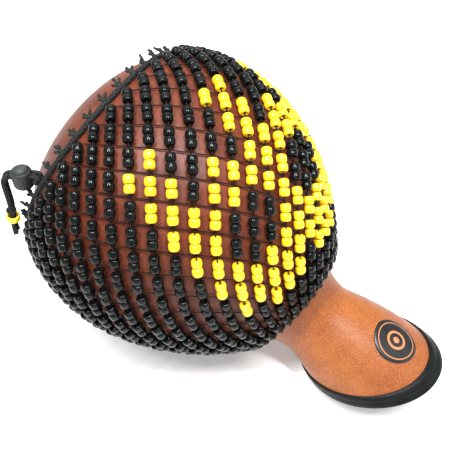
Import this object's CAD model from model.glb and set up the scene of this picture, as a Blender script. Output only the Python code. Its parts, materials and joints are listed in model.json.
"""A shekere: a lacquered gourd shell with a turning net of threaded beads, lying on a pale floor.

Lengths on the object are in millimetres along and round the gourd's own axis, as in the CAD source,
and laid() turns them into metres in the frame.
"""

import json
import math

import bpy
import numpy as np
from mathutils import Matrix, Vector


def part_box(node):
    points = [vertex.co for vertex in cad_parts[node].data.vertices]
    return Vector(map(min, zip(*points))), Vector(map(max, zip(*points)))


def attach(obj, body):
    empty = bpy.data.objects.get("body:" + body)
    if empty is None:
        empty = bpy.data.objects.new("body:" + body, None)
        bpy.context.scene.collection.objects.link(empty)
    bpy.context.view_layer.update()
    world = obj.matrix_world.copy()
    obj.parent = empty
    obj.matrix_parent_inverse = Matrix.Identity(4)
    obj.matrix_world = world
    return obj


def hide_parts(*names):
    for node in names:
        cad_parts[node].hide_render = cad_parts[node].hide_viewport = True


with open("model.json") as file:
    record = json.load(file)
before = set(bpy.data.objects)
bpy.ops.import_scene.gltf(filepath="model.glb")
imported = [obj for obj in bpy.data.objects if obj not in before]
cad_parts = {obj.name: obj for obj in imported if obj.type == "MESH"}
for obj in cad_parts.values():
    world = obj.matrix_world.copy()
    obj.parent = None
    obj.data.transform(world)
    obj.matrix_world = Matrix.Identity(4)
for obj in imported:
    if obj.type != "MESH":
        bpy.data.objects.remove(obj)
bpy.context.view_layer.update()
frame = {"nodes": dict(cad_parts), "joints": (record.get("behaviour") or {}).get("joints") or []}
rng = np.random.default_rng(11)

# The gourd's sizes, which are the CAD source's
BELLY_R = 111.5
DOME_LENGTH = 104.5
DOME_FULLNESS = 2.36
SHOULDER_LENGTH = 138.0
SHOULDER_FULLNESS = 1.7
SHOULDER_END = 57.0
WALL = 3.0
WAIST_R = 33.5
NECK_LENGTH = 37.0
FOOT_R = 47.6
FLARE_LENGTH = 93.0
CUT_FROM_WAIST = 52.0
CUT_ANGLE = math.radians(38.0)
TRIM_H = 7.0
BADGE_D = 36.0
BADGE_T = 0.8
BADGE_FROM_WAIST = 50.0

# The net's sizes
LEGS = 36
ROWS = 18
LEG_LENGTH = 16.9
GATHER = 0.48
GATHERED_ROWS = 4
NET_TWIST = -1.25
NET_PHASE = -23.0
DRAWSTRING_GAP = 9.0
FIRST_KNOTS = 104.0
BEAD_R = 3.8
BEAD_H = 6.0
BEAD_BORE_R = 1.25
BEAD_GAP = 0.3
BEAD_CLEARANCE = 0.9
THREAD_R = 0.5
CORD_R = 2.0
NECK_CORD_R = 1.5
CORD_SEAT = 0.5
SLOT_Z = 9.5
LOCK_TURN = math.radians(209.0)
LOCK_SIDE = -74.6
STRAND_SIDE = 2.1

# The yellow zigzags, in directions round the net, of which there are two to a leg
FIGURE_START = 70
FIGURE_WIDTH = 32
ZIGZAG_REPEAT = 8
# Where a row's own number decides which mesh holds its black beads
FIRST_NECK_ROW = 8
# The bare threads sink towards the shell where the rings crowd, from this ring on
CROSSING_GAP = 0.2
CROWDED_RING = 11
CROWDED_STEP = 0.42
# Points in a ring of the shell and the trim
RING_POINTS = 256
# How far the outline runs on past the flare, so that the cut can slant beyond it
OUTLINE_SPARE = 15

# The gourd's axis as it lies, from the joint that turns the net
turn = next(j for j in frame["joints"] if j["name"] == "net_turn")
CENTRE = np.array(turn["pos_m"], float)
AXIS = np.array(turn["axis"], float) / np.linalg.norm(turn["axis"])
SIDE = np.array([0.0, 1.0, 0.0])
UP = np.cross(AXIS, SIDE)


def laid(points):
    """Points of the gourd, in millimetres, as points of the frame, in metres."""
    p = np.asarray(points, float) / 1000
    return CENTRE + p[..., 0:1] * AXIS + p[..., 1:2] * SIDE + p[..., 2:3] * UP


def around(x, r, angle):
    """A point at x along the axis and r from it, in a direction in degrees from the badge."""
    a = np.radians(angle)
    return np.stack(np.broadcast_arrays(x, r * np.sin(a), r * np.cos(a)), -1).astype(float)


# ---------------------------------------------------------------- camera and light

def look(eye, azimuth, elevation, lens):
    """Places the camera from the ball's middle, along its own right, up and back directions."""
    data = bpy.data.cameras.new("camera")
    data.sensor_width = 36.0
    data.lens = lens
    data.clip_start = 0.01
    camera = bpy.data.objects.new("camera", data)
    bpy.context.scene.collection.objects.link(camera)
    a = math.radians(azimuth)
    e = math.radians(elevation)
    back = Vector((math.sin(a) * math.cos(e), -math.cos(a) * math.cos(e), math.sin(e)))
    right = Vector((math.cos(a), math.sin(a), 0.0))
    up = back.cross(right)
    camera.location = Vector(CENTRE) + eye[0] * right + eye[1] * up + eye[2] * back
    camera.rotation_mode = "QUATERNION"
    camera.rotation_quaternion = (-back).to_track_quat("-Z", "Y")
    bpy.context.scene.camera = camera
    return back, right, up


BACK, RIGHT, CAMERA_UP = look((0.0380, -0.0194, 0.498), 29.0, 47.5, 48.9)


def softbox(name, right, up, back, width, height, power, colour=(1.0, 1.0, 1.0)):
    """A soft light placed from the ball's middle along the camera's own directions."""
    data = bpy.data.lights.new(name, "AREA")
    data.shape = "RECTANGLE"
    data.size = width
    data.size_y = height
    data.energy = power
    data.color = colour
    light = bpy.data.objects.new(name, data)
    bpy.context.scene.collection.objects.link(light)
    place = Vector(CENTRE) + right * RIGHT + up * CAMERA_UP + back * BACK
    light.location = place
    light.rotation_mode = "QUATERNION"
    light.rotation_quaternion = (Vector(CENTRE) - place).to_track_quat("-Z", "Y")
    return light


def make_stage():
    """A pale floor, a pale world and four softboxes."""
    softbox("strip_left", -0.26, 0.45, 0.95, 0.08, 0.5, 14.0)
    softbox("strip_right", 0.26, 0.45, 0.95, 0.08, 0.5, 14.0)
    softbox("overhead", -0.1, 1.1, 0.35, 1.2, 0.8, 5.0)
    softbox("fill_right", 1.2, 0.2, 0.5, 0.8, 1.0, 2.5)
    world = bpy.data.worlds.new("studio")
    world.use_nodes = True
    background = world.node_tree.nodes["Background"]
    background.inputs["Color"].default_value = (1.0, 1.0, 1.0, 1.0)
    background.inputs["Strength"].default_value = 0.52
    bpy.context.scene.world = world
    bpy.context.scene.view_settings.view_transform = "Standard"
    bpy.context.scene.view_settings.look = "None"
    mesh = bpy.data.meshes.new("floor")
    s = 6.0
    mesh.from_pydata([(-s, -s, 0), (s, -s, 0), (s, s, 0), (-s, s, 0)], [], [(0, 1, 2, 3)])
    floor = bpy.data.objects.new("floor", mesh)
    bpy.context.scene.collection.objects.link(floor)
    material, shader = new_material("floor_paper")
    shader.inputs["Base Color"].default_value = (0.93, 0.93, 0.93, 1.0)
    shader.inputs["Roughness"].default_value = 0.9
    shader.inputs["Specular IOR Level"].default_value = 0.1
    shader.inputs["Emission Color"].default_value = (1.0, 1.0, 1.0, 1.0)
    shader.inputs["Emission Strength"].default_value = 0.25
    mesh.materials.append(material)


# ---------------------------------------------------------------- materials

def new_material(name):
    """A new material and its main shader."""
    material = bpy.data.materials.new(name)
    material.use_nodes = True
    return material, material.node_tree.nodes["Principled BSDF"]


class Nodes:
    """Short ways to add a material's nodes."""

    def __init__(self, material):
        self.tree = material.node_tree
        self.shader = self.tree.nodes["Principled BSDF"]
        self.place = self.add("ShaderNodeTexCoord").outputs["Object"]

    def add(self, kind, **values):
        node = self.tree.nodes.new(kind)
        for key, value in values.items():
            setattr(node, key, value)
        return node

    def link(self, output, socket):
        self.tree.links.new(output, socket)

    def noise(self, scale, detail=3.0, roughness=0.55, place=None, stretch=None):
        node = self.add("ShaderNodeTexNoise")
        node.inputs["Scale"].default_value = scale
        node.inputs["Detail"].default_value = detail
        node.inputs["Roughness"].default_value = roughness
        source = place or self.place
        if stretch is not None:
            mapping = self.add("ShaderNodeMapping")
            mapping.inputs["Scale"].default_value = stretch
            self.link(source, mapping.inputs["Vector"])
            source = mapping.outputs["Vector"]
        self.link(source, node.inputs["Vector"])
        return node.outputs["Fac"]

    def span(self, value, low, high, to_low=0.0, to_high=1.0):
        node = self.add("ShaderNodeMapRange")
        node.inputs["From Min"].default_value = low
        node.inputs["From Max"].default_value = high
        node.inputs["To Min"].default_value = to_low
        node.inputs["To Max"].default_value = to_high
        self.link(value, node.inputs["Value"])
        return node.outputs["Result"]

    def ramp(self, value, stops):
        node = self.add("ShaderNodeValToRGB")
        elements = node.color_ramp.elements
        while len(elements) < len(stops):
            elements.new(0.5)
        for element, (position, colour) in zip(elements, stops):
            element.position = position
            element.color = (*colour, 1.0)
        self.link(value, node.inputs["Fac"])
        return node.outputs["Color"]

    def mix(self, share, a, b, how="MIX"):
        node = self.add("ShaderNodeMix", data_type="RGBA", blend_type=how)
        for socket, value in ((node.inputs[0], share), (node.inputs[6], a), (node.inputs[7], b)):
            if isinstance(value, (int, float)):
                socket.default_value = value
            elif isinstance(value, tuple):
                socket.default_value = (*value, 1.0)
            else:
                self.link(value, socket)
        return node.outputs[2]

    def maths(self, how, a, b=None):
        node = self.add("ShaderNodeMath", operation=how)
        for socket, value in zip(node.inputs, (a, b)):
            if value is None:
                continue
            if isinstance(value, (int, float)):
                socket.default_value = value
            else:
                self.link(value, socket)
        return node.outputs[0]

    def bump(self, height, strength, distance):
        node = self.add("ShaderNodeBump")
        node.inputs["Strength"].default_value = strength
        node.inputs["Distance"].default_value = distance
        self.link(height, node.inputs["Height"])
        self.link(node.outputs["Normal"], self.shader.inputs["Normal"])


def lacquer():
    """Reddish brown on the ball, going over to orange tan with a sandy grain on the handle."""
    material, shader = new_material("lacquered_fibreglass")
    n = Nodes(material)
    away = n.add("ShaderNodeVectorMath", operation="SUBTRACT")
    n.link(n.place, away.inputs[0])
    away.inputs[1].default_value = tuple(CENTRE)
    along = n.add("ShaderNodeVectorMath", operation="DOT_PRODUCT")
    n.link(away.outputs["Vector"], along.inputs[0])
    along.inputs[1].default_value = tuple(AXIS)
    handle_share = n.span(along.outputs["Value"], 0.085, 0.150)
    mottle = n.noise(38.0, 5.0, 0.6)
    ball = n.ramp(mottle, [(0.3, (0.070, 0.013, 0.006)), (0.5, (0.105, 0.021, 0.009)),
                           (0.72, (0.155, 0.036, 0.016))])
    handle = n.ramp(mottle, [(0.3, (0.225, 0.060, 0.012)), (0.5, (0.285, 0.082, 0.018)),
                             (0.72, (0.345, 0.108, 0.028))])
    base = n.mix(handle_share, ball, handle)
    grain = n.noise(1150.0, 2.0, 0.6)
    light_grain = n.maths("MULTIPLY", n.span(grain, 0.56, 0.70), n.span(handle_share, 0, 1, 0.10, 0.60))
    base = n.mix(light_grain, base, (0.58, 0.27, 0.12))
    dark_grain = n.maths("MULTIPLY", n.span(grain, 0.44, 0.30), n.span(handle_share, 0, 1, 0.18, 0.66))
    base = n.mix(dark_grain, base, (0.09, 0.024, 0.010))
    streak = n.noise(9.0, 4.0, 0.6, stretch=(1.0, 5.0, 1.0))
    base = n.mix(n.span(streak, 0.45, 0.75, 0.0, 0.35), base, (0.20, 0.055, 0.026))
    n.link(base, shader.inputs["Base Color"])
    n.link(n.span(n.noise(120.0), 0.3, 0.7, 0.44, 0.56), shader.inputs["Roughness"])
    n.bump(n.maths("ADD", grain, n.noise(160.0)), 0.12, 0.0006)
    shader.inputs["Specular IOR Level"].default_value = 0.22
    shader.inputs["Coat Weight"].default_value = 0.08
    shader.inputs["Coat Roughness"].default_value = 0.32
    return material


def shell_inside():
    """Bare glass mat and resin, which shows at the mouth."""
    material, shader = new_material("bare_fibreglass")
    n = Nodes(material)
    colour = n.ramp(n.noise(260.0, 4.0, 0.7), [(0.3, (0.09, 0.045, 0.028)), (0.7, (0.20, 0.11, 0.07))])
    n.link(colour, shader.inputs["Base Color"])
    shader.inputs["Roughness"].default_value = 0.75
    n.bump(n.noise(500.0, 4.0, 0.7, stretch=(1.0, 3.0, 1.0)), 0.6, 0.0008)
    return material


def bead_black():
    """Black glaze, crisp where it mirrors the lights."""
    material, shader = new_material("bead_black_glazed")
    n = Nodes(material)
    colour = n.ramp(n.noise(140.0, 2.0), [(0.3, (0.002, 0.003, 0.003)), (0.7, (0.006, 0.007, 0.007))])
    n.link(colour, shader.inputs["Base Color"])
    n.link(n.span(n.noise(300.0), 0.3, 0.7, 0.12, 0.19), shader.inputs["Roughness"])
    n.bump(n.noise(420.0, 2.0), 0.10, 0.0004)
    shader.inputs["Specular IOR Level"].default_value = 0.18
    return material


def bead_yellow():
    """Yellow glaze, a little see-through."""
    material, shader = new_material("bead_yellow_glazed")
    n = Nodes(material)
    colour = n.ramp(n.noise(90.0, 2.0), [(0.3, (0.90, 0.50, 0.006)), (0.5, (0.97, 0.60, 0.010)),
                                         (0.7, (1.0, 0.69, 0.022))])
    n.link(colour, shader.inputs["Base Color"])
    n.link(n.span(n.noise(300.0), 0.3, 0.7, 0.24, 0.36), shader.inputs["Roughness"])
    n.bump(n.noise(420.0, 2.0), 0.10, 0.0004)
    shader.inputs["Subsurface Weight"].default_value = 0.12
    shader.inputs["Subsurface Radius"].default_value = (0.002, 0.0012, 0.0004)
    shader.inputs["Coat Weight"].default_value = 0.25
    shader.inputs["Coat Roughness"].default_value = 0.2
    return material


def rubber():
    """Near black, with a fine moulded grain."""
    material, shader = new_material("moulded_rubber")
    n = Nodes(material)
    colour = n.ramp(n.noise(60.0, 4.0), [(0.3, (0.003, 0.003, 0.003)), (0.7, (0.009, 0.010, 0.010))])
    n.link(colour, shader.inputs["Base Color"])
    n.link(n.span(n.noise(200.0), 0.3, 0.7, 0.36, 0.52), shader.inputs["Roughness"])
    n.bump(n.noise(1400.0, 2.0), 0.25, 0.0003)
    shader.inputs["Specular IOR Level"].default_value = 0.12
    return material


def cord_weave(name, dark, light, turns):
    """Twisted or braided strands, drawn along and round the piece by its UV map."""
    material, shader = new_material(name)
    n = Nodes(material)
    uv = n.add("ShaderNodeTexCoord").outputs["UV"]
    heights = []
    for slant in (turns, -turns):
        mapping = n.add("ShaderNodeMapping")
        mapping.inputs["Rotation"].default_value = (0.0, 0.0, math.atan(slant))
        n.link(uv, mapping.inputs["Vector"])
        wave = n.add("ShaderNodeTexWave", bands_direction="X")
        wave.inputs["Scale"].default_value = 1.0
        wave.inputs["Distortion"].default_value = 0.6
        wave.inputs["Detail"].default_value = 1.0
        n.link(mapping.outputs["Vector"], wave.inputs["Vector"])
        heights.append(wave.outputs["Fac"])
    height = n.maths("MAXIMUM", heights[0], heights[1])
    n.link(n.ramp(height, [(0.2, dark), (0.9, light)]), shader.inputs["Base Color"])
    shader.inputs["Roughness"].default_value = 0.8
    shader.inputs["Specular IOR Level"].default_value = 0.15
    n.bump(height, 0.7, 0.0006)
    return material


def fuzz():
    """Dull dark fibres."""
    material, shader = new_material("frayed_thread")
    n = Nodes(material)
    colour = n.ramp(n.noise(900.0, 3.0), [(0.3, (0.008, 0.010, 0.010)), (0.7, (0.040, 0.046, 0.044))])
    n.link(colour, shader.inputs["Base Color"])
    shader.inputs["Roughness"].default_value = 0.9
    shader.inputs["Specular IOR Level"].default_value = 0.12
    n.bump(n.noise(2500.0, 2.0), 0.8, 0.0004)
    return material


def moulded_plastic(name, low, high):
    """Satin plastic that varies between two colours."""
    material, shader = new_material(name)
    n = Nodes(material)
    n.link(n.ramp(n.noise(80.0, 3.0), [(0.3, low), (0.7, high)]), shader.inputs["Base Color"])
    n.link(n.span(n.noise(260.0), 0.3, 0.7, 0.30, 0.44), shader.inputs["Roughness"])
    n.bump(n.noise(1600.0, 2.0), 0.15, 0.0002)
    shader.inputs["Specular IOR Level"].default_value = 0.15
    return material


def wire():
    """Bright steel for the spring."""
    material, shader = new_material("drawn_wire")
    n = Nodes(material)
    colour = n.ramp(n.noise(700.0), [(0.3, (0.42, 0.42, 0.44)), (0.7, (0.62, 0.62, 0.64))])
    n.link(colour, shader.inputs["Base Color"])
    shader.inputs["Metallic"].default_value = 1.0
    shader.inputs["Roughness"].default_value = 0.3
    return material


def badge_print():
    """Black with two plain rings and a dot, in the shell's colour."""
    material, shader = new_material("badge_print")
    n = Nodes(material)
    away = n.add("ShaderNodeVectorMath", operation="DISTANCE")
    n.link(n.place, away.inputs[0])
    away.inputs[1].default_value = tuple(BADGE_CENTRE)
    far = away.outputs["Value"]
    share = None
    for radius, half_width in ((0.0, 0.0026), (0.0068, 0.0010), (0.0150, 0.0004)):
        off = n.maths("ABSOLUTE", n.maths("SUBTRACT", far, radius))
        ring = n.span(off, half_width + 0.0002, half_width - 0.0002)
        share = ring if share is None else n.maths("MAXIMUM", share, ring)
    black = n.ramp(n.noise(150.0), [(0.3, (0.005, 0.005, 0.005)), (0.7, (0.012, 0.013, 0.013))])
    orange = n.ramp(n.noise(500.0), [(0.3, (0.42, 0.15, 0.06)), (0.7, (0.54, 0.21, 0.09))])
    n.link(n.mix(share, black, orange), shader.inputs["Base Color"])
    n.link(n.span(n.noise(200.0), 0.3, 0.7, 0.28, 0.4), shader.inputs["Roughness"])
    n.bump(n.noise(900.0), 0.08, 0.0002)
    return material


# ---------------------------------------------------------------- shapes

def piece(name, points, faces, material, body, uv=None, smooth=True):
    """A mesh from points in metres that rides on a CAD body. uv holds a pair for each point."""
    mesh = bpy.data.meshes.new(name)
    mesh.from_pydata(np.asarray(points, float).tolist(), [], [tuple(int(i) for i in f) for f in faces])
    if uv is not None:
        layer = mesh.uv_layers.new(name="UVMap")
        corners = np.zeros(len(mesh.loops), np.int32)
        mesh.loops.foreach_get("vertex_index", corners)
        layer.data.foreach_set("uv", np.asarray(uv, np.float32)[corners].ravel())
    mesh.polygons.foreach_set("use_smooth", [smooth] * len(mesh.polygons))
    mesh.materials.append(material)
    mesh.validate()
    mesh.update()
    made = bpy.data.objects.new(name, mesh)
    bpy.context.scene.collection.objects.link(made)
    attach(made, body)
    return made


def grid_faces(rows, columns, wrap_rows=False):
    """Quads of a grid of points that is stored ring by ring, with each ring closed."""
    faces = []
    for i in range(rows if wrap_rows else rows - 1):
        for j in range(columns):
            a = i * columns
            b = ((i + 1) % rows) * columns
            k = (j + 1) % columns
            faces.append((a + j, a + k, b + k, b + j))
    return faces


class Bundle:
    """Tubes and lumps that make one mesh."""

    def __init__(self):
        self.points = []
        self.faces = []
        self.uv = []
        self.count = 0

    def add(self, points, faces, uv=None):
        points = np.asarray(points, float).reshape(-1, 3)
        self.points.append(points)
        self.faces += [tuple(i + self.count for i in f) for f in faces]
        self.uv.append(np.zeros((len(points), 2)) if uv is None else np.asarray(uv, float))
        self.count += len(points)

    def tube(self, line, radius, sides=8, closed=False):
        """A tube along a line of points. radius is one number or one for each point."""
        line = np.asarray(line, float)
        count = len(line)
        radius = np.broadcast_to(np.asarray(radius, float), (count,))
        if closed:
            way = np.roll(line, -1, 0) - np.roll(line, 1, 0)
        else:
            way = np.gradient(line, axis=0)
        way /= np.linalg.norm(way, axis=1)[:, None]
        start = np.cross(way[0], [0.31, 0.52, 0.80])
        normals = [start / np.linalg.norm(start)]
        for i in range(1, count):
            v = normals[-1] - way[i] * np.dot(normals[-1], way[i])
            normals.append(v / np.linalg.norm(v))
        normals = np.array(normals)
        across = np.cross(way, normals)
        a = np.linspace(0, 2 * math.pi, sides, endpoint=False)
        ring = np.cos(a)[None, :, None] * normals[:, None] + np.sin(a)[None, :, None] * across[:, None]
        points = line[:, None] + ring * radius[:, None, None]
        faces = grid_faces(count, sides, wrap_rows=closed)
        if not closed:
            faces.append(tuple(range(sides - 1, -1, -1)))
            faces.append(tuple(range((count - 1) * sides, count * sides)))
        steps = np.linalg.norm(np.diff(line, axis=0), axis=1)
        s = np.concatenate([[0], np.cumsum(steps)])
        mean = float(radius.mean())
        turns = np.minimum(np.arange(sides), sides - np.arange(sides)) / sides * 2
        uv = np.stack(np.broadcast_arrays((s / (6 * mean))[:, None], turns[None, :]), -1)
        self.add(points, faces, uv.reshape(-1, 2))

    def lump(self, middle, size, roughness=0.18):
        """A small uneven knot."""
        theta = np.linspace(0, math.pi, 6)
        phi = np.linspace(0, 2 * math.pi, 8, endpoint=False)
        t, p = np.meshgrid(theta, phi, indexing="ij")
        ball = np.stack([np.sin(t) * np.cos(p), np.sin(t) * np.sin(p), np.cos(t)], -1)
        bumps = 1 + roughness * np.sin(3 * p + middle[0] * 2.1) * np.sin(2 * t + middle[1])
        self.add(middle + ball * (size * bumps)[..., None], grid_faces(6, 8))

    def make(self, name, material, body, metres=False):
        points = np.concatenate(self.points)
        if not metres:
            points = laid(points)
        return piece(name, points, self.faces, material, body, np.concatenate(self.uv))


# The gourd's outline, as x and radius, from the tip of the dome to past the cut

def bezier(a, b, c, d, steps):
    """Points along a cubic curve."""
    u = np.linspace(0, 1, steps)[:, None]
    a, b, c, d = (np.array(p, float) for p in (a, b, c, d))
    return (1 - u) ** 3 * a + 3 * (1 - u) ** 2 * u * b + 3 * (1 - u) * u * u * c + u ** 3 * d


def shoulder_point(angle):
    """x and radius on the shoulder, at an angle from the widest ring."""
    a = np.radians(angle)
    return np.stack([SHOULDER_LENGTH * np.sin(a) ** (2 / SHOULDER_FULLNESS),
                     BELLY_R * np.cos(a) ** (2 / SHOULDER_FULLNESS)], -1)


def outline():
    """The gourd's outer line of x and radius, and where its waist is."""
    a = np.radians(np.linspace(0, 90, 61))
    dome = np.stack([-DOME_LENGTH * np.abs(np.cos(a)) ** (2 / DOME_FULLNESS),
                     BELLY_R * np.sin(a) ** (2 / DOME_FULLNESS)], -1)
    dome[-1] = (0.0, BELLY_R)
    shoulder = shoulder_point(np.linspace(0, SHOULDER_END, 45))[1:]
    stop = shoulder[-1]
    way = stop - shoulder_point(SHOULDER_END - 1.0)
    way /= np.linalg.norm(way)
    waist_x = stop[0] + NECK_LENGTH
    pull = 0.45 * NECK_LENGTH
    neck = bezier(stop, stop + pull * way, (waist_x - pull, WAIST_R), (waist_x, WAIST_R), 24)[1:]
    flare = bezier((waist_x, WAIST_R), (waist_x + 0.11 * FLARE_LENGTH, WAIST_R),
                   (waist_x + 0.36 * FLARE_LENGTH, FOOT_R), (waist_x + FLARE_LENGTH, FOOT_R), 40)[1:]
    end = np.array([[waist_x + FLARE_LENGTH + OUTLINE_SPARE, FOOT_R]])
    return np.concatenate([dome, shoulder, neck, flare, end]), waist_x


OUTLINE, WAIST_X = outline()
CUT_X = WAIST_X + CUT_FROM_WAIST


def out_of(line):
    """The outward normal at each point of a line of x and radius."""
    way = np.gradient(line, axis=0)
    way /= np.linalg.norm(way, axis=1)[:, None]
    normal = np.stack([-way[:, 1], way[:, 0]], -1)
    normal[0] = (-1.0, 0.0)
    return normal


OUT = out_of(OUTLINE)


def moved_out(distance):
    """The outline moved out along its normals, or in where distance is negative."""
    moved = OUTLINE + distance * OUT
    moved[:, 1] = np.maximum(moved[:, 1], 0.0)
    return moved


def beyond_cut(x, r, angle):
    """How far a point lies past the oblique cut."""
    return (x - CUT_X) * math.cos(CUT_ANGLE) - r * np.cos(np.radians(angle)) * math.sin(CUT_ANGLE)


def cut_place(angle, past, offset):
    """x and radius where a line moved out by offset lies this far past the cut."""
    line = moved_out(offset)
    x = np.full_like(np.asarray(angle, float), CUT_X)
    for _ in range(40):
        r = np.interp(x, line[:, 0], line[:, 1])
        x = x - 0.7 * (beyond_cut(x, r, angle) - past) / math.cos(CUT_ANGLE)
    return x, np.interp(x, line[:, 0], line[:, 1])


TURN = np.linspace(0, 360, RING_POINTS, endpoint=False)


def shell_surface(offset):
    """Rings of points over the whole shell, the last of which follow the oblique cut."""
    line = moved_out(offset)
    fixed = line[line[:, 0] < WAIST_X]
    rings = [around(np.full(RING_POINTS, x), np.full(RING_POINTS, r), TURN) for x, r in fixed]
    end_x, _ = cut_place(TURN, 0.0, offset)
    for share in np.linspace(0, 1, 36):
        x = WAIST_X + (end_x - WAIST_X) * share
        rings.append(around(x, np.interp(x, line[:, 0], line[:, 1]), TURN))
    return np.array(rings)


def make_shell():
    """The shell outside, and a liner inside with the wall at the cut."""
    outside = shell_surface(0.0)
    shell = piece("gourd_shell", laid(outside.reshape(-1, 3)), grid_faces(len(outside), RING_POINTS),
                  lacquer(), "gourd")
    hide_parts("dome_shell", "belly_shell", "handle_shell")
    inside = shell_surface(-WALL)[::-1]
    liner = np.concatenate([outside[-1:], inside])
    lining = piece("gourd_inside", laid(liner.reshape(-1, 3)), grid_faces(len(liner), RING_POINTS),
                   shell_inside(), "gourd")


def make_trim():
    """A rubber channel round the cut: an outer band with a soft step, a round lip, an inner leg."""
    section = [(-TRIM_H, 0.15), (-TRIM_H + 0.3, 1.2), (-TRIM_H + 1.2, 1.75), (-3.4, 1.95),
               (-2.7, 1.75), (-2.2, 1.75), (-1.6, 2.0), (1.2, 2.0), (2.2, 1.7), (2.8, 0.9),
               (3.0, -0.2), (3.0, -2.8), (2.8, -3.9), (2.2, -4.6), (1.2, -5.0),
               (-TRIM_H + 0.8, -5.0), (-TRIM_H, -4.4), (-TRIM_H, -3.15)]
    rings = []
    for past, offset in section:
        x, r = cut_place(TURN, past, offset)
        rings.append(around(x, r, TURN))
    rings = np.array(rings)
    trim = piece("foot_trim_rubber", laid(rings.reshape(-1, 3)), grid_faces(len(rings), RING_POINTS),
                 rubber(), "gourd")
    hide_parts("foot_trim")


BADGE_X = WAIST_X + BADGE_FROM_WAIST
BADGE_R = float(np.interp(BADGE_X, OUTLINE[:, 0], OUTLINE[:, 1]))
BADGE_CENTRE = laid([BADGE_X, 0.0, BADGE_R + BADGE_T])


def make_badge():
    """A thin disc that follows the handle, with a rolled edge."""
    rings = []
    for share, height in ((0.0, 1.0), (0.2, 1.0), (0.4, 1.0), (0.6, 1.0), (0.8, 1.0), (0.92, 1.0),
                          (0.97, 0.9), (0.995, 0.6), (1.0, 0.02)):
        a = np.radians(np.linspace(0, 360, 96, endpoint=False))
        x = BADGE_X + BADGE_D / 2 * share * np.cos(a)
        y = BADGE_D / 2 * share * np.sin(a)
        r = np.interp(x, OUTLINE[:, 0], OUTLINE[:, 1]) + BADGE_T * height
        rings.append(np.stack([x, y, np.sqrt(r * r - y * y)], -1))
    rings = np.array(rings)[::-1]
    badge = piece("badge_disc", laid(rings.reshape(-1, 3)), grid_faces(len(rings), 96),
                  badge_print(), "gourd")
    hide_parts("badge")


# ---------------------------------------------------------------- the net

BEAD_LIFT = BEAD_R + BEAD_CLEARANCE
CARRIER = moved_out(BEAD_LIFT)
CARRIER_S = np.concatenate([[0], np.cumsum(np.linalg.norm(np.diff(CARRIER, axis=0), axis=1))])


def on_carrier(s):
    """x and radius at a length s along the surface that the beads sit on."""
    return np.array([np.interp(s, CARRIER_S, CARRIER[:, 0]), np.interp(s, CARRIER_S, CARRIER[:, 1])])


def carrier_out(s):
    """The outward direction there."""
    way = on_carrier(s + 1) - on_carrier(s - 1)
    return np.array([-way[1], way[0]]) / np.linalg.norm(way)


HALF_STEP = 180.0 / LEGS


def ring_places():
    """How far along that surface each ring of knots lies."""
    leg_turn = math.radians(HALF_STEP - NET_TWIST)
    places = [FIRST_KNOTS]
    for row in range(ROWS):
        leg = LEG_LENGTH - GATHER * max(0, GATHERED_ROWS - row)
        step = math.sqrt(leg ** 2 - (leg_turn * on_carrier(places[-1])[1]) ** 2)
        r = on_carrier(places[-1] + step / 2)[1]
        places.append(places[-1] + math.sqrt(leg ** 2 - (leg_turn * r) ** 2))
    return places


RING_S = ring_places()


def knot_angle(n, m):
    """The direction of a knot of ring n."""
    return NET_PHASE + m * HALF_STEP + n * NET_TWIST


def knot(n, m, drop=0.0):
    """A knot of ring n, sunk by drop towards the shell."""
    x, r = on_carrier(RING_S[n]) - drop * carrier_out(RING_S[n])
    return around(x, r, knot_angle(n, m))


def zigzag(m):
    """How far a direction lies from the middle of its zigzag's repeat."""
    return abs((m - 3) % ZIGZAG_REPEAT - ZIGZAG_REPEAT / 2)


def is_yellow(row, m):
    """Whether the pair of beads of a row in direction m is yellow."""
    if (m - FIGURE_START) % (2 * LEGS) >= FIGURE_WIDTH:
        return False
    z = zigzag(m)
    slanted = 5 <= row <= 15 and z <= 1
    banded = row in (9, 10, 14, 15)
    tipped = (row == 8 and z == 4) or (row == 16 and z >= 2)
    return slanted or banded or tipped


def bead_shape(sides=16):
    """A pony bead along Z: a full barrel with rounded ends and an open bore."""
    half = BEAD_H / 2
    lower = [(BEAD_BORE_R, 0.0), (BEAD_BORE_R, 0.72 * half), (BEAD_BORE_R + 0.35, 0.95 * half),
             (BEAD_BORE_R + 0.95, half), (2.95, 0.95 * half), (3.52, 0.70 * half), (3.76, 0.36 * half)]
    section = [(r, -z) for r, z in lower] + [(BEAD_R, 0.0)] + [(r, z) for r, z in lower[:0:-1]]
    a = np.linspace(0, 2 * math.pi, sides, endpoint=False)
    points = [np.stack([r * np.cos(a), r * np.sin(a), np.full(sides, z)], -1) for r, z in section]
    return np.concatenate(points), grid_faces(len(section), sides, wrap_rows=True)


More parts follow.
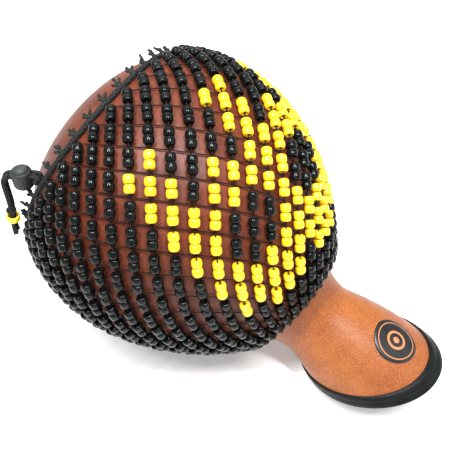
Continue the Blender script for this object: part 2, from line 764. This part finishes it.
def make_beads():
    """Two beads to a leg, each turned and shifted a little by chance."""
    shape, faces = bead_shape()
    black = (bead_black(), "bead_black")
    yellow = (bead_yellow(), "bead_yellow")
    nodes = [n for n in frame["nodes"] if "_beads_row_" in n]
    groups = {"black_beads_dome": [], "black_beads_neck": [], "yellow_beads_all": []}
    for row in range(1, ROWS + 1):
        for q in range(LEGS):
            m = (row + 1) % 2 + 2 * q
            a = knot(row - 1, m)
            b = knot(row, m - 1)
            name = "black_beads_dome" if row < FIRST_NECK_ROW else "black_beads_neck"
            if is_yellow(row, m):
                name = "yellow_beads_all"
            way = (b - a) / np.linalg.norm(b - a)
            out = np.array([0.0, *(a + b)[1:]])
            side = np.cross(way, out / np.linalg.norm(out))
            side /= np.linalg.norm(side)
            out = np.cross(side, way)
            for end in (-1, 1):
                middle = (a + b) / 2 + way * end * (BEAD_H + BEAD_GAP) / 2
                middle = middle + side * rng.normal(0, 0.12) + out * rng.normal(0, 0.10)
                tip = way + side * rng.normal(0, 0.035) + out * rng.normal(0, 0.035)
                tip /= np.linalg.norm(tip)
                u = np.cross(tip, out)
                u /= np.linalg.norm(u)
                v = np.cross(tip, u)
                size = 1 + rng.normal(0, 0.008)
                bead = shape[:, :1] * u + shape[:, 1:2] * v + shape[:, 2:] * tip
                groups[name].append(middle + size * bead)
    for name, beads in groups.items():
        is_black = name.startswith("black")
        material, slot = black if is_black else yellow
        all_faces = [tuple(i + k * len(shape) for i in f) for k in range(len(beads)) for f in faces]
        made = piece(name, laid(np.concatenate(beads)), all_faces, material, "net")
        stood_for = [n for n in nodes if n.startswith("yellow") != is_black]
        if name == "black_beads_dome":
            stood_for = [n for n in stood_for if int(n[-2:]) < FIRST_NECK_ROW]
        if name == "black_beads_neck":
            stood_for = [n for n in stood_for if int(n[-2:]) >= FIRST_NECK_ROW]
        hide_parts(*stood_for)


THREAD = cord_weave("waxed_thread", (0.005, 0.004, 0.003), (0.026, 0.017, 0.014), 1.2)
CORD = cord_weave("braided_cord", (0.004, 0.004, 0.004), (0.022, 0.023, 0.023), 1.0)


def crossing_drop(n):
    """How far the bare threads run below the beads' threads at a ring of knots."""
    return 2 * THREAD_R + CROSSING_GAP + CROWDED_STEP * max(0, n - CROWDED_RING)


def make_threads():
    """The threads through the beads, the bare threads that cross them, and the knots."""
    carrying = Bundle()
    crossing = Bundle()
    knots = Bundle()
    start_drop = (BEAD_LIFT - CORD_R - CORD_SEAT) / 2
    start_s = FIRST_KNOTS - DRAWSTRING_GAP + CORD_R + 1.0
    for q in range(LEGS):
        x, r = on_carrier(start_s) - start_drop * carrier_out(start_s)
        line = [around(x, r, knot_angle(0, 2 * q) + 1)]
        line += [knot(n, 2 * q - n) for n in range(ROWS + 1)]
        carrying.tube(line, THREAD_R * 0.9, 6)
        bare = []
        for n in range(ROWS + 1):
            here = knot(n, 2 * q + n, crossing_drop(n))
            bare.append(here)
            if n < ROWS:
                there = knot(n + 1, 2 * q + n + 1, crossing_drop(n + 1))
                for share in (0.25, 0.5, 0.75):
                    p = here + (there - here) * share
                    sag = 1 - (min(1.6, BEAD_LIFT - crossing_drop(n + 1) - 0.9) * 4 * share * (1 - share)
                               / np.linalg.norm(p[1:]))
                    bare.append(p * np.array([1.0, sag, sag]))
        crossing.tube(bare, THREAD_R * 0.9, 6)
        for n in range(ROWS + 1):
            knots.lump(knot(n, 2 * q - n, crossing_drop(n) / 2), 1.15)
    made = carrying.make("bead_thread_runs", THREAD, "net")
    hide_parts("bead_threads")
    made = crossing.make("bare_thread_runs", THREAD, "net")
    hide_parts("cross_threads")
    made = knots.make("thread_knots", THREAD, "net")


def make_hoop(name, node, s, drop, radius):
    """A braided cord round the gourd, with a slight wander."""
    x, r = on_carrier(s) - drop * carrier_out(s)
    angles = np.linspace(0, 360, 240, endpoint=False)
    wander = 0.12 * np.sin(np.radians(angles) * 36)
    hoop = Bundle()
    hoop.tube(around(x + wander, r + 0 * wander, angles), radius, 12, closed=True)
    made = hoop.make(name, CORD, "net")
    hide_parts(node)


DRAWSTRING_S = FIRST_KNOTS - DRAWSTRING_GAP
DRAWSTRING_OUT = carrier_out(DRAWSTRING_S)
DRAWSTRING_BACK = np.array([-DRAWSTRING_OUT[1], DRAWSTRING_OUT[0]])
DRAWSTRING_DROP = BEAD_LIFT - CORD_R - CORD_SEAT
DRAWSTRING_MIDDLE = on_carrier(DRAWSTRING_S) - DRAWSTRING_DROP * DRAWSTRING_OUT


def make_tufts():
    """The cut ends of the net's thread: three frayed prongs to a tuft."""
    tufts = Bundle()
    way = math.cos(math.radians(55)) * DRAWSTRING_BACK + math.sin(math.radians(55)) * DRAWSTRING_OUT
    for q in range(LEGS):
        angle = knot_angle(0, 2 * q) + 1
        if abs((angle - LOCK_SIDE + 540) % 360 - 180) <= 6:
            continue
        a = np.radians(angle)
        radial = np.array([0.0, np.sin(a), np.cos(a)])
        tangent = np.array([0.0, np.cos(a), -np.sin(a)])
        root = np.array([DRAWSTRING_MIDDLE[0], 0, 0]) + DRAWSTRING_MIDDLE[1] * radial
        ahead = np.array([way[0], 0, 0]) + way[1] * radial
        flat = np.array([DRAWSTRING_BACK[0], 0, 0]) + DRAWSTRING_BACK[1] * radial
        tufts.lump(root + 1.6 * ahead, 1.7, 0.25)
        for spread, reach in ((-0.75, 4.4), (0.05, 5.6), (0.8, 4.6)):
            aim = ahead * 0.8 + tangent * (spread + rng.normal(0, 0.15)) + flat * rng.normal(0.1, 0.25)
            aim /= np.linalg.norm(aim)
            reach = reach * (1 + rng.normal(0, 0.10))
            bend = tangent * rng.normal(0, 0.6) + flat * rng.normal(0, 0.5)
            shares = np.linspace(0, 1, 7)
            line = [root + 1.8 * ahead + aim * reach * t + bend * t * t for t in shares]
            thick = 1.05 + 0.28 * np.sin(shares * 14 + rng.random() * 6)
            tufts.tube(line, thick, 7)
            for _ in range(12):
                t = rng.uniform(0.25, 1.0)
                base = root + 1.8 * ahead + aim * reach * t + bend * t * t
                stray = aim * 0.7 + rng.normal(0, 0.6, 3)
                stray /= np.linalg.norm(stray)
                hair = [base, base + stray * 0.9, base + stray * 1.6 + rng.normal(0, 0.2, 3)]
                tufts.tube(hair, (0.22, 0.16, 0.08), 4)
    made = tufts.make("thread_tufts", fuzz(), "net")
    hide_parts("fringe_tufts")


# ---------------------------------------------------------------- the cord lock and its tail

lock_low, lock_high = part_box("lock_body")
LOCK = np.array([(lock_low[0] + lock_high[0]) / 2, (lock_low[1] + lock_high[1]) / 2,
                 lock_low[2] + SLOT_Z / 1000])


def at_lock(points):
    """Points in millimetres from the middle of the lock's slot, with X out along the cord, in the frame."""
    p = np.asarray(points, float) / 1000
    c, s = math.cos(LOCK_TURN), math.sin(LOCK_TURN)
    return LOCK + np.stack([c * p[..., 0] - s * p[..., 1], s * p[..., 0] + c * p[..., 1], p[..., 2]], -1)


def smooth_line(points, steps):
    """A smooth curve through points, evenly spaced."""
    p = np.asarray(points, float)
    s = np.concatenate([[0], np.cumsum(np.linalg.norm(np.diff(p, axis=0), axis=1))])
    slope = np.gradient(p, s, axis=0)
    t = np.linspace(0, s[-1], steps)
    i = np.clip(np.searchsorted(s, t) - 1, 0, len(s) - 2)
    h = (s[i + 1] - s[i])[:, None]
    u = ((t - s[i]) / (s[i + 1] - s[i]))[:, None]
    return ((2 * u ** 3 - 3 * u ** 2 + 1) * p[i] + (u ** 3 - 2 * u ** 2 + u) * h * slope[i]
            + (3 * u ** 2 - 2 * u ** 3) * p[i + 1] + (u ** 3 - u ** 2) * h * slope[i + 1])


# Routes of the doubled cord from the lock's slot, in millimetres, as in the CAD source
UPPER_ROUTE = [(-8.8, 4.2, -4.2), (-10.4, 3.7, -2.8), (-11, 3, -1.2), (-10, 2.3, -0.2),
               (-8, 2.1, 0), (8, 2.1, 0)]
LOWER_ROUTE = [(-9.8, 1.2, -9), (-11.6, -0.6, -6.4), (-12.3, -1.8, -3.4), (-11.2, -2.1, -1),
               (-9, -2.1, -0.1), (-7, -2.1, 0), (8, -2.1, 0)]
TAIL_ROUTE = [(8.3, 0, 0), (9.5, 0, 0), (11.8, 0, -1.6), (13.3, 0, -5), (13.8, 0, -9),
              (14, 0, -13), (14.1, 0, -17), (14.2, 0, -21), (14.4, 0, -25), (14.7, 0, -29)]
KNOT_AT = np.array([15.8, 0, -34.6])
BAND_FROM = np.array([16.4, 0, -40.1])
BAND_TO = np.array([17, 0, -45.3])
ENDS_FROM = np.array([17.1, 0, -45.7])
ENDS_TO = np.array([17.9, 0, -57.5])


def revolved(section, sides, ripple=0.0, ripples=0):
    """Rings of points round Z from pairs of radius and height; ripples make ribs below the top."""
    a = np.linspace(0, 2 * math.pi, sides, endpoint=False)
    rings = []
    for r, z in section:
        ribs = 1 + ripple * (0.5 + 0.5 * np.cos(ripples * a)) if -8.5 < z < 1.0 and r > 5 else 1.0
        rings.append(np.stack([r * ribs * np.cos(a), r * ribs * np.sin(a), np.full(sides, float(z))], -1))
    return np.array(rings)


def make_lock():
    """A ribbed barrel with a floor, a domed button that slides in it, and the cord's loop."""
    plastic = moulded_plastic("lock_plastic_satin", (0.014, 0.017, 0.016), (0.032, 0.037, 0.035))
    button_plastic = moulded_plastic("button_plastic_satin", (0.022, 0.027, 0.026),
                                     (0.045, 0.052, 0.050))
    barrel = [(0.01, -9.5), (6.0, -9.5), (6.7, -9.1), (6.9, -8.4), (7.05, -6), (7.2, -2.5),
              (7.15, 0.5), (7.2, 1.4), (7.45, 2.2), (7.1, 3.4), (6.5, 4.2), (5.9, 4.5),
              (5.6, 4.3), (5.55, 3.0), (5.55, -7.8), (0.01, -7.8)]
    rings = revolved(barrel, 96, 0.045, 24)
    body = piece("lock_barrel", at_lock(rings.reshape(-1, 3)), grid_faces(len(rings), 96), plastic, "net")
    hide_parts("lock_body")
    section = [(0.01, -3.4), (5.0, -3.4), (5.35, -3.0), (5.4, 3.8)]
    section += [(5.4 * math.cos(a), 3.8 + 3.65 * math.sin(a))
                for a in np.radians(np.linspace(8, 89.5, 14))]
    rings = revolved(section, 96)
    button = piece("lock_button_dome", at_lock(rings.reshape(-1, 3)), grid_faces(len(rings), 96),
                   button_plastic, "button")
    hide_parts("lock_button")
    loop = Bundle()
    for route in (UPPER_ROUTE, LOWER_ROUTE):
        loop.tube(at_lock(smooth_line(route, 40)), CORD_R / 1000, 12)
    made = loop.make("lock_cord_loop", CORD, "net", metres=True)
    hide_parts("lock_cord")
    spring = frame["nodes"]["lock_spring"].data
    spring.materials.clear()
    spring.materials.append(wire())


def make_tail():
    """Two strands from the lock to a knot, then a yellow band and two frayed ends."""
    knot_shape = Bundle()
    t = np.linspace(0, 2 * math.pi, 90, endpoint=False)
    trefoil = np.stack([1.55 * (np.sin(t) + 1.3 * np.sin(2 * t)) * 0.62,
                        1.55 * (np.cos(t) - 1.3 * np.cos(2 * t)) * 0.62,
                        -1.9 * np.sin(3 * t) * 0.75], -1)
    knot_shape.tube(at_lock(trefoil + KNOT_AT), 0.0020, 12, closed=True)
    tail_knot = knot_shape.make("tail_knot_tied", CORD, "net", metres=True)
    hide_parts("tail_knot")
    way = (BAND_TO - BAND_FROM) / np.linalg.norm(BAND_TO - BAND_FROM)
    side = np.array([0.0, 1.0, 0.0])
    out = np.cross(side, way)
    angles = np.linspace(0, 2 * math.pi, 48, endpoint=False)
    rings = []
    for r, share in ((3.6, 0.06), (4.4, 0.0), (4.85, 0.08), (5.0, 0.25), (5.0, 0.75), (4.85, 0.92),
                     (4.4, 1.0), (3.6, 0.94)):
        middle = BAND_FROM + (BAND_TO - BAND_FROM) * share
        rings.append(middle + r * np.cos(angles)[:, None] * out
                     + r * np.sin(angles)[:, None] * side)
    rings = np.array(rings)
    band = piece("tail_band_ring", at_lock(rings.reshape(-1, 3)),
                 grid_faces(len(rings), 48, wrap_rows=True),
                 bpy.data.materials["bead_yellow_glazed"], "net")
    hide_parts("tail_band")
    ends = Bundle()
    for side_y in (-STRAND_SIDE, STRAND_SIDE):
        offset = np.array([0.0, side_y, 0.0])
        line = [KNOT_AT + offset * 0.6, BAND_FROM + offset * 0.8, BAND_TO + offset * 0.9,
                ENDS_TO * 0.5 + ENDS_FROM * 0.5 + offset, ENDS_TO + offset]
        ends.tube(at_lock(smooth_line(line, 24)), 0.0019, 12)
        for _ in range(26):
            base = ENDS_TO + offset + rng.normal(0, 1.0, 3) * (1, 1, 0.2)
            hair = [base, base + (rng.normal(0, 0.4), rng.normal(0, 0.4), -0.8),
                    base + (rng.normal(0, 0.9), rng.normal(0, 0.9), -1.7)]
            ends.tube(at_lock(hair), (0.00022, 0.00018, 0.0001), 4)
    cut_ends = ends.make("tail_ends_frayed", CORD, "net", metres=True)
    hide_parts("tail_ends")
    for number, side_y in ((1, -STRAND_SIDE), (2, STRAND_SIDE)):
        route = [np.array(p) + np.array([0.0, side_y, 0.0]) for p in TAIL_ROUTE]
        route.append(KNOT_AT + np.array([-0.6, side_y * 0.6, 1.0]))
        line = at_lock(smooth_line(route, 30))
        strand = Bundle()
        strand.tube(line, CORD_R / 1000, 12)
        made = strand.make(f"tail_strand_{number}", CORD, "net", metres=True)
        if number == 1:
            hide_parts("tail_cord")


make_stage()
make_shell()
make_trim()
make_badge()
make_beads()
make_threads()
make_hoop("dome_drawstring_braid", "dome_drawstring", DRAWSTRING_S, DRAWSTRING_DROP, CORD_R)
make_hoop("neck_cord_braid", "neck_cord", RING_S[-1] + NECK_CORD_R + 1.3,
          BEAD_LIFT - NECK_CORD_R - CORD_SEAT, NECK_CORD_R)
make_tufts()
make_lock()
make_tail()
